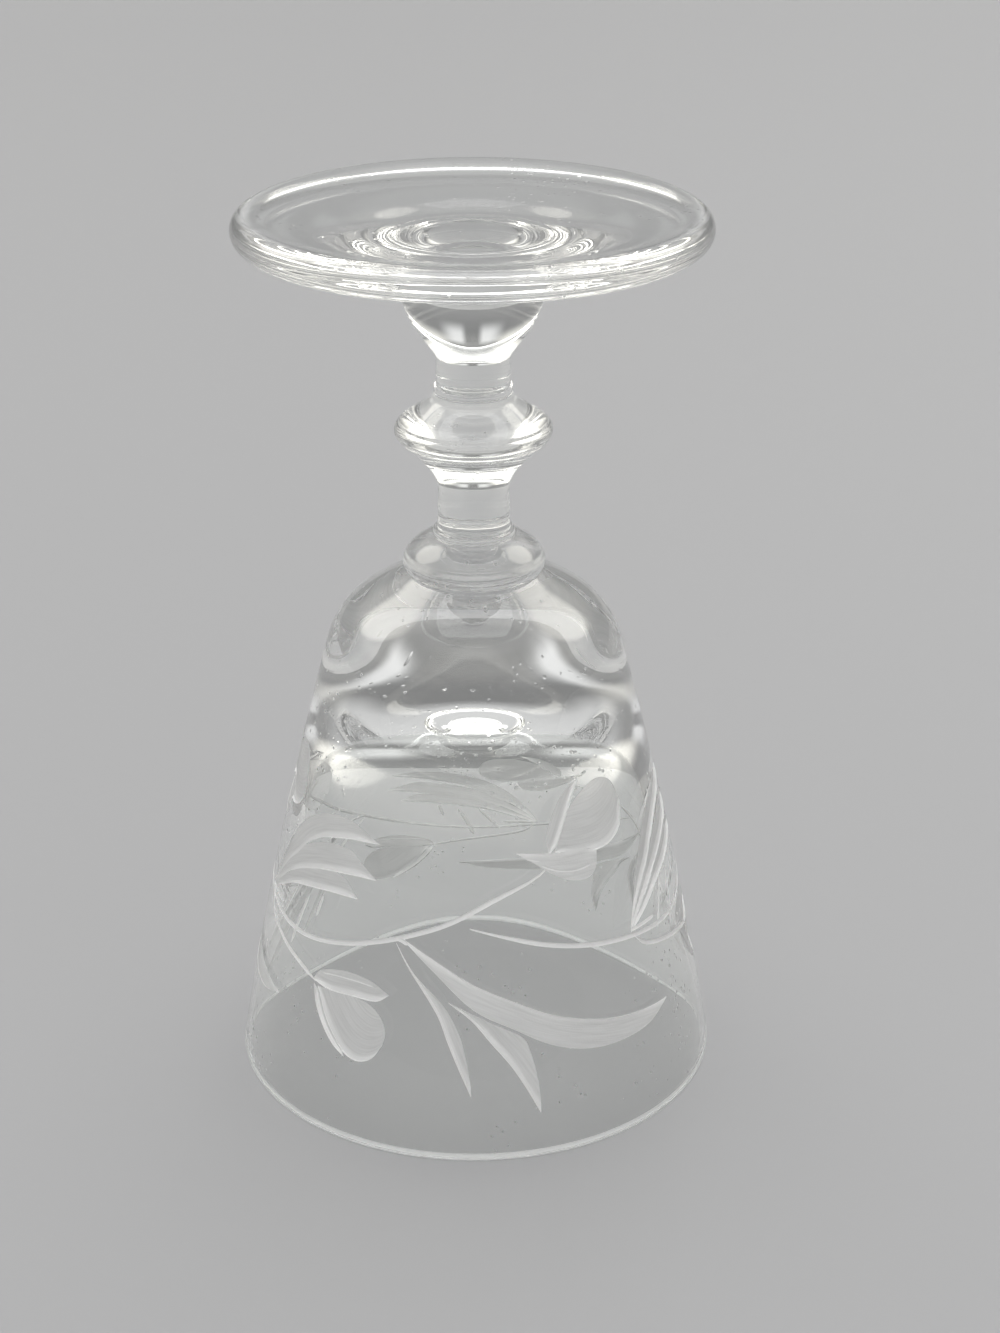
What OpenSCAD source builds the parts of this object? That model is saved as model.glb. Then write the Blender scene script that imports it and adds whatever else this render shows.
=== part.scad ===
// A cordial glass turned over to stand on its rim: a flared bell bowl with a heavy
// base, a collar, a short stem with a disc knop, a round dome and a flat foot.
// Every piece is spun about +Z. The origin is the centre of the rim circle, in the
// plane that the rim stands on, and +Z points up to the foot. Units are millimetres.

/* [Bowl] */
// Diameter over the rim
rim_d = 50.2; // [48:0.1:54]
// Height of the bowl, from the rim to the collar
bowl_h = 54.2; // [52.5:0.1:60]
// Diameter where the wall turns in to the shoulder
shoulder_d = 30.5; // [29:0.1:33]
// Height of that turn above the rim
shoulder_h = 45.5; // [43:0.1:47]
// Diameter where the shoulder ends beside the collar
shoulder_top_d = 16; // [15:0.1:18]
// Rise from the end of the shoulder to the collar
shoulder_lip = 0.8; // [0.4:0.05:1.2]
// Outward lean of the wall at the rim, in mm for each mm of height
rim_lean = 0.165; // [0.1:0.005:0.22]
// Outward lean of the wall at the shoulder, in mm for each mm of height
shoulder_lean = 0.26; // [0.2:0.005:0.3]
// Thickness of the wall at the rim
rim_wall = 1.2; // [1:0.05:1.8]
// Thickness of the wall where the cavity's domed end begins
base_wall = 2.8; // [2.2:0.05:3.4]
// Radius of the fire-polished edges of the rim
rim_round = 0.42; // [0.25:0.01:0.45]
// Depth of the cavity on its axis
cavity_h = 42; // [38:0.1:44]
// Height of the cavity's domed end
cavity_turn = 17; // [14:0.1:19]

/* [Collar] */
// Height of the collar
collar_h = 4.4; // [4:0.05:5.5]
// Diameter over the collar
collar_d = 14.3; // [13.8:0.05:16]
// Diameter of the collar where it sits on the bowl
collar_seat_d = 13.5; // [13.3:0.05:13.7]
// Height of the collar's rounded band
collar_band = 1.9; // [1.5:0.05:2.3]
// Diameter of the collar's end at the stem
collar_end_d = 8.2; // [7.7:0.05:9]
// Radius of the rounded ring at that end
collar_ring = 0.35; // [0.2:0.01:0.45]

/* [Stem] */
// Length of the plain stem between the collar and the knop
upper_stem_h = 4.2; // [3:0.1:12]
// Diameter of that stem at the collar
upper_stem_d = 7.35; // [7.2:0.05:7.6]
// Length of the plain stem between the knop and the dome
lower_stem_h = 3; // [2:0.1:12]
// Diameter of that stem
lower_stem_d = 7.3; // [7.1:0.05:7.6]

/* [Knop] */
// Diameter over the knop
knop_d = 15.65; // [13:0.05:18]
// Height of the knop
knop_h = 10.5; // [9.5:0.1:12]
// Height of its widest part above its end at the upper stem
knop_belly_h = 6; // [5.4:0.1:6.4]
// Radius of its rounded edge
knop_round = 0.9; // [0.6:0.05:1.1]
// Diameter of its end at the upper stem
knop_end_d = 7.05; // [6.9:0.05:7.2]
// Diameter of the small ring at its other end
knop_ring_d = 7.75; // [7.6:0.05:8.2]
// Height of that ring
knop_ring_h = 0.45; // [0.3:0.05:0.6]

/* [Foot] */
// Height of the dome between the stem and the foot
dome_h = 8.1; // [7:0.1:10]
// Diameter of the dome's round side
dome_d = 14.1; // [13:0.05:14.6]
// Height of the fillet between the dome and the foot
dome_fillet = 0.8; // [0.5:0.05:1.2]
// Diameter of the dome where the foot sits on it
hub_d = 15.6; // [14.8:0.05:16.5]
// Diameter over the foot
foot_d = 46.1; // [40:0.1:54]
// Height of the foot, from the dome to the face it stands on upright
foot_h = 6.2; // [5.6:0.1:7]
// Thickness of the foot at its edge
foot_edge = 3; // [2.4:0.05:3.4]
// Distance from the foot's edge in to the ring that the upright glass stands on
bearing_inset = 1.75; // [1.7:0.05:3]
// Width of that ring
bearing_w = 0.8; // [0.5:0.05:1.5]
// Depth of the hollow inside the ring
foot_hollow = 1.4; // [0.8:0.05:2]

/* [Hidden] */

// Facets of a full turn, and steps along each curve of an outline
$fn = 96;
curve_steps = 12;
arc_steps = 6;

// Colour of clear glass in the draft view
glass_tint = [0.80, 0.86, 0.86, 0.45];

// Radii of the seams and widest places
rim_r = rim_d / 2;
shoulder_r = shoulder_d / 2;
shoulder_top_r = shoulder_top_d / 2;
collar_r = collar_d / 2;
collar_seat_r = collar_seat_d / 2;
collar_end_r = collar_end_d / 2;
upper_stem_r = upper_stem_d / 2;
lower_stem_r = lower_stem_d / 2;
knop_r = knop_d / 2;
knop_end_r = knop_end_d / 2;
knop_ring_r = knop_ring_d / 2;
dome_r = dome_d / 2;
hub_r = hub_d / 2;
foot_r = foot_d / 2;
bearing_r = foot_r - bearing_inset;

// Heights of the flat seams where one gather of glass is fused to the next
collar_z = bowl_h;
upper_stem_z = collar_z + collar_h;
knop_z = upper_stem_z + upper_stem_h;
lower_stem_z = knop_z + knop_h;
dome_z = lower_stem_z + lower_stem_h;
foot_z = dome_z + dome_h;
foot_top = foot_z + foot_h;

// Shares of a curve's height or width at which its control points lie
wall_handle_share = 0.33;
shoulder_handle_shares = [0.55, 0.6];
cavity_handle_shares = [0.6, 0.65];
band_handle_share = 0.5;
cone_handle_shares = [0.2, 0.4];
belly_handle_shares = [0.3, 0.46];
crown_handle_shares = [0.35, 0.4];
dome_handle_shares = [0.18, 0.5];
foot_handle_shares = [0.13, 0.3];
hollow_handle_shares = [0.12, 0.55];

// Points of a cubic curve from a to d that leaves towards b and arrives from c
function curve(a, b, c, d, steps = curve_steps) = [
    for (i = [0 : steps])
        let (t = i / steps, s = 1 - t)
        s * s * s * a + 3 * s * s * t * b + 3 * s * t * t * c + t * t * t * d
];

// Points of an arc about a centre, from one angle to another
function arc(centre, r, from, to, steps = arc_steps) = [
    for (i = [0 : steps])
        let (a = from + (to - from) * i / steps)
        centre + r * [cos(a), sin(a)]
];

// A point that lies a share of the way from a to b, by its own share across and up
function between(a, b, across, up) = [a[0] + (b[0] - a[0]) * across, a[1] + (b[1] - a[1]) * up];

// A solid spun about +Z from the points [radius, height] of its outline
module spun(points) {
    rotate_extrude() polygon(points);
}

module bowl() {
    wall_handle = shoulder_h * wall_handle_share;
    shoulder_rise = bowl_h - shoulder_lip - shoulder_h;
    shoulder_a = [shoulder_r, shoulder_h];
    shoulder_b = [shoulder_top_r, bowl_h - shoulder_lip];
    turn_h = cavity_h - cavity_turn;
    turn_share = turn_h / shoulder_h;
    turn_handle = turn_h * wall_handle_share;
    inner_rim_r = rim_r - rim_wall;
    wall_slope = (1 - turn_share) * rim_lean + turn_share * shoulder_lean;
    turn_r = shoulder_r + (shoulder_h - turn_h) * shoulder_lean - base_wall;

    color(glass_tint) spun(concat(
        // The rim's two polished edges and the narrow flat between them
        arc([inner_rim_r + rim_round, rim_round], rim_round, 180, 270),
        arc([rim_r - rim_round, rim_round], rim_round, -90, 0),
        // The wall, nearly straight, leaning in to the shoulder
        curve([rim_r - rim_round * rim_lean, rim_round + rim_round],
              [rim_r - wall_handle * rim_lean, wall_handle],
              [shoulder_r + wall_handle * shoulder_lean, shoulder_h - wall_handle],
              shoulder_a),
        // The rounded shoulder and the short lip beside the collar
        curve(shoulder_a,
              [shoulder_r - shoulder_rise * shoulder_handle_shares[0] * shoulder_lean,
               shoulder_h + shoulder_rise * shoulder_handle_shares[0]],
              between(shoulder_b, shoulder_a, shoulder_handle_shares[1],
                      1 - shoulder_handle_shares[1] - shoulder_handle_shares[1] * rim_lean),
              shoulder_b),
        [[collar_seat_r, bowl_h], [0, bowl_h]],
        // The domed end of the cavity
        curve([0, cavity_h],
              [turn_r * cavity_handle_shares[0], cavity_h],
              [turn_r - cavity_turn * cavity_handle_shares[1] * wall_slope,
               turn_h + cavity_turn * cavity_handle_shares[1]],
              [turn_r, turn_h]),
        // The inside of the wall, back to the rim
        curve([turn_r, turn_h],
              [turn_r + turn_handle * wall_slope, turn_h - turn_handle],
              [inner_rim_r - turn_handle * rim_lean, turn_handle],
              [inner_rim_r - rim_round * rim_lean, rim_round + rim_round])
    ));
}

module collar() {
    seat = [collar_seat_r, collar_z];
    side = [collar_r, collar_z + collar_band / 2];
    cone_foot = [collar_r - collar_ring, collar_z + collar_band];
    cone_top = [collar_end_r, collar_z + collar_h - collar_ring - collar_ring];

    color(glass_tint) spun(concat(
        [[0, collar_z]],
        curve(seat,
              between(seat, side, band_handle_share, 0),
              between(side, seat, 0, band_handle_share),
              side),
        curve(side,
              between(side, cone_foot, 0, band_handle_share),
              between(cone_foot, side, band_handle_share, band_handle_share),
              cone_foot),
        curve(cone_foot,
              between(cone_foot, cone_top, cone_handle_shares[0], cone_handle_shares[1]),
              between(cone_top, cone_foot, cone_handle_shares[1], cone_handle_shares[0]),
              cone_top),
        arc([collar_end_r - collar_ring, collar_z + collar_h - collar_ring], collar_ring, -40, 90),
        [[0, collar_z + collar_h]]
    ));
}

module upper_stem() {
    color(glass_tint) spun([
        [0, upper_stem_z],
        [upper_stem_r, upper_stem_z],
        [(upper_stem_r + knop_end_r) / 2, upper_stem_z + upper_stem_h / 3],
        [knop_end_r, knop_z],
        [0, knop_z]
    ]);
}

module knop() {
    low_end = [knop_end_r, knop_z];
    low_edge = [knop_r - knop_round / 2, knop_z + knop_belly_h - knop_round];
    high_edge = [knop_r - knop_round / 2, knop_z + knop_belly_h + knop_round];
    high_end = [knop_ring_r, lower_stem_z - knop_ring_h];

    color(glass_tint) spun(concat(
        [[0, knop_z]],
        curve(low_end,
              between(low_end, low_edge, 0, belly_handle_shares[0]),
              between(low_edge, low_end, belly_handle_shares[1], belly_handle_shares[0]),
              low_edge),
        arc([knop_r - knop_round, knop_z + knop_belly_h], knop_round, -60, 60),
        curve(high_edge,
              between(high_edge, high_end, crown_handle_shares[1], crown_handle_shares[0]),
              between(high_end, high_edge, 0, crown_handle_shares[0]),
              high_end),
        [[knop_ring_r, lower_stem_z], [0, lower_stem_z]]
    ));
}

module lower_stem() {
    color(glass_tint) spun([
        [0, lower_stem_z],
        [lower_stem_r, lower_stem_z],
        [lower_stem_r, dome_z],
        [0, dome_z]
    ]);
}

module foot_dome() {
    dome_side = [dome_r, foot_z - dome_fillet];
    dome_end = [lower_stem_r, dome_z];

    color(glass_tint) spun(concat(
        [[0, dome_z]],
        curve(dome_end,
              between(dome_end, dome_side, dome_handle_shares[0], dome_handle_shares[0]),
              between(dome_side, dome_end, 0, dome_handle_shares[1]),
              dome_side),
        [[hub_r, foot_z], [0, foot_z]]
    ));
}

module foot() {
    edge_r = foot_edge / 2;
    hub = [hub_r, foot_z];
    edge_low = [foot_r - edge_r, foot_top - foot_edge];
    ring_in = [bearing_r - bearing_w, foot_top];
    middle = [0, foot_top - foot_hollow];

    color(glass_tint) spun(concat(
        [[0, foot_z]],
        curve(hub,
              between(hub, edge_low, foot_handle_shares[0], 1 - foot_handle_shares[1]),
              between(edge_low, hub, foot_handle_shares[1], foot_handle_shares[0]),
              edge_low),
        arc([foot_r - edge_r, foot_top - edge_r], edge_r, -90, 90),
        [[bearing_r, foot_top]],
        curve(ring_in,
              between(ring_in, middle, hollow_handle_shares[0], hollow_handle_shares[1]),
              between(middle, ring_in, hollow_handle_shares[1], 0),
              middle)
    ));
}

bowl();
collar();
upper_stem();
knop();
lower_stem();
foot_dome();
foot();
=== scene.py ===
"""Dresses the cordial glass: clear glass, ground flowers cut in the bowl, and a plain stage."""

import math
from bisect import bisect_left

import bmesh
import bpy
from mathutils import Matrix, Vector


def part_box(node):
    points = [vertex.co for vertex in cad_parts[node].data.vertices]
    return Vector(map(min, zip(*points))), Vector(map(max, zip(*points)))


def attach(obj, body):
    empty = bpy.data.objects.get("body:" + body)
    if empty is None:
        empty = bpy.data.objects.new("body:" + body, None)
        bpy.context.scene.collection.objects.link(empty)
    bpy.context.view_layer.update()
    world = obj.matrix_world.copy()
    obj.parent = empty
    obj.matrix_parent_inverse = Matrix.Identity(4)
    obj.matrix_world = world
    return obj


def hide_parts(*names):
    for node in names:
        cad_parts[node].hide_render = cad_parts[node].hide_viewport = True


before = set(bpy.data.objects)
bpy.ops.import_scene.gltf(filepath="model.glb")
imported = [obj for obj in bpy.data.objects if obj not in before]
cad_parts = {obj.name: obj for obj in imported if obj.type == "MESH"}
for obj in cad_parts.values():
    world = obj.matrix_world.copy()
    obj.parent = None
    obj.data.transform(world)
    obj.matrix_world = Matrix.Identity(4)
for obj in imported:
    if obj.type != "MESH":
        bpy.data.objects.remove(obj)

bl_info = {
    "name": "Cordial Glass",
    "version": (1, 0, 0),
    "blender": (4, 5, 0),
    "location": "3D View > Sidebar > Glass",
    "description": "Builds a cordial glass with ground flowers, and a stage for it",
    "category": "Add Mesh",
}

MM = 0.001
LOWEST, HIGHEST = 0, 1
X, Y, Z = 0, 1, 2


def node_height(node):
    """The height of a node of the frame, in metres."""
    low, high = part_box(node)
    return high[Z] - low[Z]


def node_radius(node):
    """The largest radius of a node of the frame, in metres."""
    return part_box(node)[HIGHEST][X]


def seam(node):
    """The height at which a node of the frame begins, in metres."""
    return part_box(node)[LOWEST][Z]


# Steps round the axis and along each curve of an outline
TURN_STEPS = 240
CURVE_STEPS = 20
ARC_STEPS = 16

# How near two points lie that are one and the same, in metres, and a length above nothing
NEAREST = 1e-6
LEAST = 1e-12

# Shares of a curve's height or width at which its control points lie
WALL_HANDLE_SHARE = 0.33
SHOULDER_HANDLE_SHARES = (0.55, 0.6)
CAVITY_HANDLE_SHARES = (0.6, 0.65)
BAND_HANDLE_SHARE = 0.5
CONE_HANDLE_SHARES = (0.2, 0.4)
BELLY_HANDLE_SHARES = (0.3, 0.46)
CROWN_HANDLE_SHARES = (0.35, 0.4)
DOME_HANDLE_SHARES = (0.18, 0.5)
FOOT_HANDLE_SHARES = (0.13, 0.3)
HOLLOW_HANDLE_SHARES = (0.12, 0.55)
STEM_HANDLE_SHARES = (0.6, 0.3, 0.6)
FILLET_HANDLE_SHARES = (0.5, 0.6, 0.85)
COLLAR_RING_ANGLES = (-40, 90)
KNOP_EDGE_ANGLES = (-60, 60)

# The sharpest turn between two faces that still looks rounded, in degrees
SHARPEST_TURN = 38
# How near a clear face lies to its wall's outline, as a share of the rim's rounding
POLISH_REACH = 1 / 60

# Material slots of every piece of glass
CLEAR, SEAM, GROUND, RIM = 0, 1, 2, 3


def length(name, value, description):
    """A length property, in metres, with its default."""
    return bpy.props.FloatProperty(
        name=name, default=value, description=description,
        subtype="DISTANCE", unit="LENGTH", min=0.0, precision=5,
    )


def factor(name, value, description):
    """A plain number property between nothing and one."""
    return bpy.props.FloatProperty(
        name=name, default=value, description=description, subtype="FACTOR", min=0.0, max=1.0,
    )


def colour(name, value, description):
    """A linear colour property with its default."""
    return bpy.props.FloatVectorProperty(
        name=name, default=value, description=description,
        subtype="COLOR", size=3, min=0.0, max=1.0,
    )


def angle(name, value, description):
    """An angle property, given in degrees and kept in radians."""
    return bpy.props.FloatProperty(
        name=name, default=math.radians(value), description=description,
        subtype="ANGLE", unit="ROTATION",
    )


class GlassSizes(bpy.types.PropertyGroup):
    """The sizes of the glass that the frame's boxes don't give by themselves."""

    shoulder_radius: length("Shoulder radius", 15.25 * MM, "Radius where the wall turns in")
    shoulder_height: length("Shoulder height", 45.5 * MM, "Height of that turn above the rim")
    shoulder_top: length("Shoulder top radius", 8 * MM, "Radius where the shoulder ends")
    shoulder_lip: length("Shoulder lip", 0.8 * MM, "Rise from the shoulder's end to the collar")
    rim_lean: factor("Rim lean", 0.165, "Outward lean of the wall at the rim")
    shoulder_lean: factor("Shoulder lean", 0.26, "Outward lean of the wall at the shoulder")
    rim_wall: length("Rim wall", 1.2 * MM, "Thickness of the wall at the rim")
    base_wall: length("Base wall", 2.8 * MM, "Thickness of the wall where the domed end begins")
    rim_round: length("Rim rounding", 0.42 * MM, "Radius of the rim's polished edges")
    cavity_height: length("Cavity height", 42 * MM, "Depth of the cavity on its axis")
    cavity_turn: length("Cavity turn", 17 * MM, "Height of the cavity's domed end")
    collar_seat: length("Collar seat radius", 6.75 * MM, "Radius of the seam under the collar")
    collar_band: length("Collar band", 1.9 * MM, "Height of the collar's rounded band")
    collar_end: length("Collar end radius", 4.1 * MM, "Radius of the collar at the stem")
    collar_ring: length("Collar ring", 0.35 * MM, "Radius of the ring at that end")
    knop_end: length("Knop end radius", 3.525 * MM, "Radius of the knop at the upper stem")
    knop_belly: length("Knop belly", 6 * MM, "Height of the knop's widest part above its end")
    knop_round: length("Knop rounding", 0.9 * MM, "Radius of the knop's edge")
    knop_ring: length("Knop ring radius", 3.875 * MM, "Radius of the ring at the knop's other end")
    knop_ring_height: length("Knop ring height", 0.45 * MM, "Height of that ring")
    dome_radius: length("Dome radius", 7.05 * MM, "Radius of the dome's round side")
    dome_fillet: length("Dome fillet", 0.8 * MM, "Height of the fillet under the foot")
    foot_edge: length("Foot edge", 3 * MM, "Thickness of the foot at its edge")
    bearing_inset: length("Bearing inset", 1.75 * MM, "From the foot's edge in to its bearing ring")
    bearing_width: length("Bearing width", 0.8 * MM, "Width of the bearing ring")
    foot_hollow: length("Foot hollow", 1.4 * MM, "Depth of the hollow inside the ring")


class CutSizes(bpy.types.PropertyGroup):
    """The sizes of the ground cuts in the bowl."""

    deep_edge: length("Deep edge", 0.34 * MM, "Depth of a cut at its crisp edge")
    line_depth: length("Line depth", 0.16 * MM, "Depth of a stem's groove")
    line_width: length("Line width", 0.5 * MM, "Width of a stem's groove")
    least_depth: length("Least depth", 0.03 * MM, "Depth of a cut where it is shallowest")
    hair: length("Hair", 0.03 * MM, "Half the width that a cut keeps at its ends")
    drum: length("Drum", 21.2 * MM, "Radius at which the wall is rolled out flat to draw the cuts")
    clearance: length("Clearance", 0.5 * MM, "How far a cutting wheel stands out of the wall")
    spray_one: angle("First spray", -78, "Where the first spray of flowers has its node")
    spray_two: angle("Second spray", 49, "Where the second spray has its node")
    spray_three: angle("Third spray", 162, "Where the third spray has its node")


class StageSizes(bpy.types.PropertyGroup):
    """The stage, its lights and the camera."""

    floor_size: length("Floor size", 6.0, "Width of the square floor")
    eye_side: length("Eye side", 2.6 * MM, "How far the camera stands to the right of the axis")
    eye_back: length("Eye distance", 240.5 * MM, "How far the camera stands in front of the axis")
    eye_height: length("Eye height", 150.8 * MM, "Height of the camera above the floor")
    eye_pitch: angle("Eye pitch", 24.11, "How far the camera looks down")
    floor_colour: colour("Floor colour", (0.40, 0.40, 0.405), "Colour of the floor")


class GlassColours(bpy.types.PropertyGroup):
    """The colours of the glass and of its cuts."""

    clear: colour("Clear glass", (0.985, 0.995, 0.985), "Colour of the clear glass")
    ground: colour("Ground glass", (0.99, 0.99, 0.98), "Colour of the ground glass")
    ground_dark: colour("Ground shade", (0.71, 0.71, 0.70), "Darker streaks of the ground glass")


# The spray of flowers that is cut three times round the bowl. Places are degrees past the
# spray's node, seen from outside, and millimetres above the rim.

# Each leaf or petal: its layer, its root, its crisp edge, its tip and its soft edge
LEAVES = {
    "upper_petal": (
        0, (-1, 20.6),
        ((3, 22.6), (8, 24.6), (13, 26.2), (18, 28.0), (23, 29.2), (28, 30.0), (38, 30.9)),
        (48.6, 31.3),
        ((3.5, 24.4), (9, 27.8), (15, 30.1), (23, 31.8), (31, 32.6), (38, 32.6), (44, 31.9))),
    "middle_petal": (
        1, (-1, 20.4),
        ((3, 21.6), (10, 23.6), (17, 25.1), (27, 26.5), (39, 27.4)),
        (48.5, 27.7),
        ((3, 22.7), (8, 24.7), (16, 27.4), (27, 29.3), (38, 29.8), (43.5, 28.8))),
    "lower_petal": (
        0, (-1, 20.2),
        ((6, 21.5), (15, 23.2), (23, 24.1), (33, 24.9)),
        (43, 25.3),
        ((4, 21.9), (12, 24.0), (19, 25.6), (28, 26.7), (37, 26.9))),
    "long_leaf": (
        0, (58, 22.6),
        ((68, 20.6), (78, 18.4), (88, 16.6), (98, 14.7), (108, 13.3), (118, 12.3), (128, 11.7)),
        (136.8, 11.3),
        ((68, 19.4), (78, 15.9), (88, 13.8), (98, 11.6), (108, 10.3), (118, 9.9), (128, 10.1))),
    "narrow_leaf": (
        1, (56.5, 22.0),
        ((60, 19.9), (65, 17.4), (69, 15.0), (71.5, 12.5), (74.5, 9.6)),
        (77.3, 7.0),
        ((62, 19.2), (70, 16.3), (74, 13.6), (76, 10.9), (77, 8.6))),
    "middle_leaf": (
        2, (71.5, 16.6),
        ((77.5, 14.8), (82.5, 12.4), (87, 10.1), (90.5, 7.7)),
        (94, 4.8),
        ((82, 14.6), (90, 12.9), (92, 11.3), (93.3, 9.1), (94, 6.9))),
    "bud_sepal": (
        1, (31, 15.4),
        ((37, 15.1), (45, 15.4), (52, 15.6)),
        (55.5, 16.5),
        ((33, 16.5), (37, 17.2), (43, 17.7), (50, 17.5))),
    "bud_petal": (
        1, (31.5, 15.0),
        ((33, 13.2), (36, 11.4), (40, 9.8)),
        (44, 8.9),
        ((35.5, 14.0), (38, 12.2), (41.5, 10.6))),
    "bud_body": (
        0, (33, 14.9),
        ((36, 12.6), (40, 10.6), (44, 9.3), (48, 8.9), (52, 9.6)),
        (54.6, 11.2),
        ((41, 15.3), (49, 15.2), (53.5, 14.1), (55.2, 12.6))),
    "tulip_petal": (
        1, (101, 30.8),
        ((104, 31.6), (108, 34.0), (111, 35.8)),
        (114.2, 37.5),
        ((100.7, 32.6), (103.6, 34.6), (108, 36.4))),
    "tulip_body": (
        0, (103, 30.9),
        ((110, 30.2), (118, 29.9), (124, 30.2), (129, 31.4)),
        (130.6, 33.6),
        ((106, 33.3), (111, 35.2), (117, 36.4), (123, 36.7), (128, 35.8))),
    "calyx": (
        2, (91, 31.3),
        ((98, 31.0), (106, 30.6), (113, 30.4)),
        (117.6, 30.0),
        ((96, 30.2), (101, 28.9), (107, 27.8), (113, 27.5), (116.5, 28.3))),
}

# Each groove: its layer, its width as a share of a stem's, and the points on its middle
GROOVES = {
    "stem": (3, 1.0, (
        (-50, 24.1), (-41, 23.2), (-28, 21.8), (-15, 20.7), (0, 19.8), (10, 19.3), (18, 19.1),
        (28, 19.4), (40, 20.4), (52, 21.8), (60, 22.9), (71, 24.5), (84, 26.9), (96, 28.6),
        (101, 29.7))),
    "stub": (4, 0.8, ((-1, 20.4), (10, 20.3))),
    "bud_stem": (4, 0.9, ((0, 19.7), (5, 18.2), (15, 17.0), (25, 16.1), (32, 15.3))),
    "leaf_stem": (4, 0.8, ((54, 22.2), (57, 22.4), (60, 22.0))),
    "first_stroke": (5, 0.8, ((17.5, 23.4), (15, 21.6), (11, 18.7))),
    "second_stroke": (5, 0.8, ((24, 23.4), (21.5, 20.6), (19, 17.4))),
    "third_stroke": (5, 0.7, ((30.2, 24.2), (29.6, 23.2), (28.6, 21.8))),
    "bud_rib_one": (5, 0.6, ((32, 15.8), (38, 15.9), (46, 16.2), (53, 16.3))),
    "bud_rib_two": (5, 0.6, ((33.5, 16.4), (39, 16.8), (46, 17.0), (52, 16.9))),
    "calyx_rib_one": (5, 0.6, ((94, 30.6), (102, 29.9), (110, 29.6), (116, 29.4))),
    "calyx_rib_two": (5, 0.6, ((98, 29.8), (104, 28.9), (110, 28.5), (116, 28.7))),
}

LAYERS = 6

# How deep a leaf is across its width, from its crisp edge to its soft one, and a groove
LEAF_DEPTH_SHARES = (0.62, 1.0, 0.84, 0.62, 0.44, 0.30, 0.20, 0.15)
GROOVE_DEPTH_SHARES = (0.3, 0.8, 1.0, 0.8, 0.3)
LEAF_STEPS = 40

# What is left of a cut at its ends, and how fast it reaches its full width and depth from there
END_WIDTH = 0.25
END_RISE = 9


# Curves and outlines, as lists of (radius, height) or (across, along) vectors

def bezier(a, b, c, d, steps=CURVE_STEPS):
    """Points of a cubic curve from a to d that leaves towards b and arrives from c."""
    points = []
    for i in range(steps + 1):
        t = i / steps
        s = 1 - t
        points.append(a * s ** 3 + b * 3 * s * s * t + c * 3 * s * t * t + d * t ** 3)
    return points


def arc(centre, radius, start, end, steps=ARC_STEPS):
    """Points of an arc about a centre, from one angle to another, in degrees."""
    points = []
    for i in range(steps + 1):
        turn = math.radians(start + (end - start) * i / steps)
        points.append(centre + radius * Vector((math.cos(turn), math.sin(turn))))
    return points


def between(a, b, across, up):
    """A point that lies shares of the way from a to b, one share across and one up."""
    return Vector((a[0] + (b[0] - a[0]) * across, a[1] + (b[1] - a[1]) * up))


def smooth_path(points, steps):
    """Evenly spaced points on a smooth curve through a few chosen ones."""
    ends = [points[0] * 2 - points[1]] + list(points) + [points[-1] * 2 - points[-2]]
    fine = []
    for p0, p1, p2, p3 in zip(ends, ends[1:], ends[2:], ends[3:]):
        for i in range(ARC_STEPS):
            t = i / ARC_STEPS
            fine.append((p1 * 2 + (p2 - p0) * t + (p0 * 2 - p1 * 5 + p2 * 4 - p3) * t * t
                         + (p1 * 3 - p0 - p2 * 3 + p3) * t ** 3) / 2)
    fine.append(points[-1])
    return evenly(fine, steps)


def evenly(points, steps):
    """The same line with its points spaced evenly along it."""
    reach = [0]
    for first, second in zip(points, points[1:]):
        reach.append(reach[-1] + (second - first).length)
    path = []
    for i in range(steps + 1):
        place = reach[-1] * i / steps
        k = min(max(bisect_left(reach, place), 1), len(points) - 1)
        share = (place - reach[k - 1]) / max(reach[k] - reach[k - 1], LEAST)
        path.append(points[k - 1].lerp(points[k], share))
    return path


class Wall:
    """A turned surface, read at any height from its outline."""

    def __init__(self, outline):
        self.outline = sorted(outline, key=lambda point: point[1])
        self.heights = [point[1] for point in self.outline]

    def span(self, height):
        """The number of the outline's point above a height, and the share of the way up to it."""
        k = min(max(bisect_left(self.heights, height), 1), len(self.heights) - 1)
        low, high = self.outline[k - 1], self.outline[k]
        share = (height - low[1]) / max(high[1] - low[1], LEAST)
        return k, min(max(share, 0), 1)

    def radius(self, height):
        """The outline's radius at a height."""
        k, share = self.span(height)
        return self.outline[k - 1].lerp(self.outline[k], share)[0]

    def slope(self, k):
        """The outline's direction at its point k, from the points beside it."""
        first = self.outline[max(k - 1, 0)]
        last = self.outline[min(k + 1, len(self.outline) - 1)]
        return (last - first).normalized()

    def normal(self, place):
        """The surface's outward normal at a place beside it."""
        k, share = self.span(place[Z])
        along = self.slope(k - 1).lerp(self.slope(k), share).normalized()
        out = Vector((place[X], place[Y], 0)).normalized()
        return Vector((out[X] * along[1], out[Y] * along[1], -along[0]))


# The outlines of the seven pieces

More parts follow.
